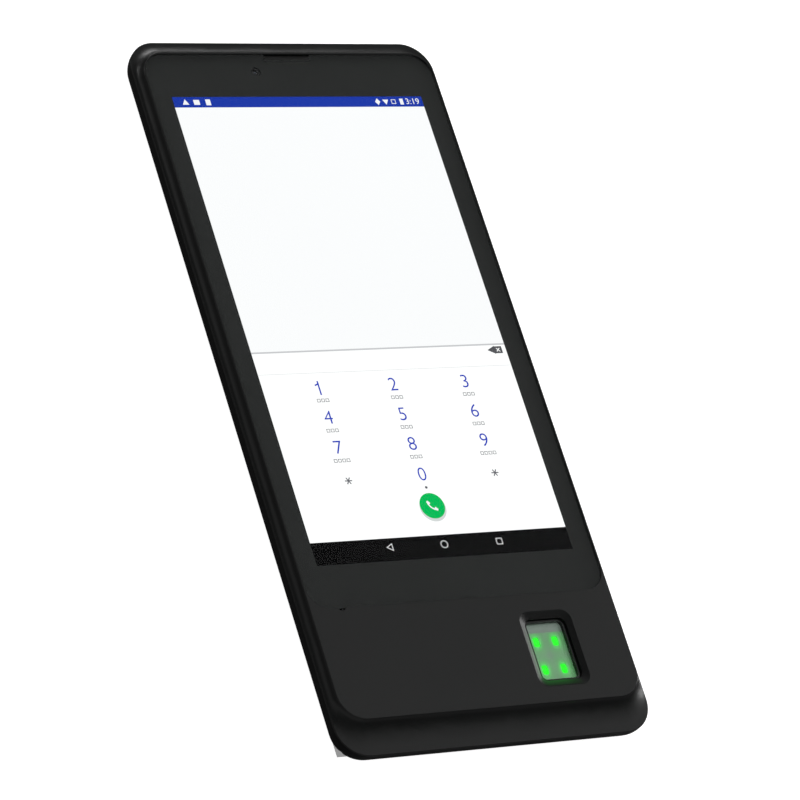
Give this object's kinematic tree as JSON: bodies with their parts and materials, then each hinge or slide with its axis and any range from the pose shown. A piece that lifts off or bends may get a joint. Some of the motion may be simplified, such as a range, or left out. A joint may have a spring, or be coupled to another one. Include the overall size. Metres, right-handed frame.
{
  "type": "fingerprint scanner terminal",
  "caption": "Hand-held touch-screen terminal with a recessed fingerprint scanner window in its lower deck, side keys, a card tray and real internals.",
  "frame": {"origin": "middle of the flat back, where the terminal rests", "axes": "+X across the device to its right, +Y up the screen to the earpiece end, +Z out of the screen"},
  "size_m": [0.1042, 0.2318, 0.012],
  "materials": {
    "battery_foil": "satin pouch foil",
    "black_ink": "printed, even",
    "black_mesh": "fine woven mesh",
    "black_rubber": "soft foam",
    "black_screw": "black zinc",
    "black_tape": "foam tape",
    "camera_black": "fine moulded",
    "card_plastic": "printed card",
    "case_plastic": "fine moulded grain, satin",
    "chip_black": "moulded epoxy",
    "clear_guide": "frosted",
    "connector_cream": "moulded",
    "deck_plastic": "fine moulded grain, satin",
    "diffuser_sheet": "frosted film",
    "display": "lit screen",
    "flash_yellow": "phosphor",
    "flex_film": "amber film",
    "gloss_black": "smooth moulded",
    "green_board": "solder mask",
    "green_lamp": "lit green",
    "key_plastic": "smooth moulded",
    "lens_glass": "polished, dark",
    "light_plate": "frosted grey",
    "ring_metal": "black anodised",
    "scanner_glass": "polished, fingerprints",
    "screen_glass": "polished",
    "steel_screw": "machined",
    "steel_sheet": "rolled sheet",
    "steel_socket": "pressed",
    "tin_shield": "tinned sheet",
    "white_plastic": "moulded"
  },
  "bodies": {
    "terminal": {"antenna_strips": "flex_film", "audio_socket": "camera_black", "backlight_sheets": "diffuser_sheet", "backlight_tray": "white_plastic", "battery_lead": "flex_film", "battery_pack": "battery_foil", "board_connectors": "connector_cream", "board_screws": "steel_screw", "card_socket": "steel_socket", "case_screws": "black_screw", "cover_glass": "screen_glass", "display_flex": "flex_film", "display_tray": "steel_sheet", "earpiece_mesh": "black_mesh", "earpiece_receiver": "steel_sheet", "fingerprint_bezel": "gloss_black", "fingerprint_board": "green_board", "fingerprint_bracket": "steel_sheet", "fingerprint_flex": "flex_film", "fingerprint_gasket": "black_rubber", "fingerprint_glass": "scanner_glass", "fingerprint_holder": "gloss_black", "fingerprint_lamps": "green_lamp", "fingerprint_light_plate": "light_plate", "fingerprint_processor": "chip_black", "flash_lamp": "flash_yellow", "flash_light_guide": "clear_guide", "front_camera": "camera_black", "front_camera_lens": "lens_glass", "front_housing": "deck_plastic", "glass_tape": "black_tape", "ink_border": "black_ink", "key_board": "green_board", "key_domes": "steel_socket", "lcd_cell": "display", "link_flex": "flex_film", "loudspeaker_box": "gloss_black", "loudspeaker_cone": "camera_black", "loudspeaker_mesh": "black_mesh", "lower_board": "green_board", "main_board": "green_board", "microphone": "tin_shield", "microphone_tube": "black_rubber", "processor_chip": "chip_black", "processor_shield": "tin_shield", "radio_chip": "chip_black", "radio_shield": "tin_shield", "rear_camera_lens": "lens_glass", "rear_camera_module": "camera_black", "rear_camera_ring": "ring_metal", "rear_camera_window": "lens_glass", "rear_housing": "case_plastic", "touch_flex": "flex_film", "usb_socket": "steel_socket", "vibration_motor": "tin_shield"},
    "power_button": {"power_key": "key_plastic"},
    "volume_button": {"volume_rocker": "key_plastic"},
    "card_drawer": {"card_tray": "case_plastic", "sim_card": "card_plastic"}
  },
  "joints": [
    {"name": "power_key_press", "type": "slide", "parent": "terminal", "child": "power_button", "axis": [-1, 0, 0], "range_m": [0, 0.00025], "stiffness_N_per_m": 400},
    {"name": "volume_rocker_tilt", "type": "hinge", "parent": "terminal", "child": "volume_button", "pos_m": [0.04843, 0.081, 0.0059], "axis": [0, 0, 1], "range_deg": [-1, 1], "stiffness_Nm_per_rad": 0.04},
    {"name": "card_tray_slide", "type": "slide", "parent": "terminal", "child": "card_drawer", "axis": [-1, 0, 0], "range_m": [0, 0.018]}
  ]
}
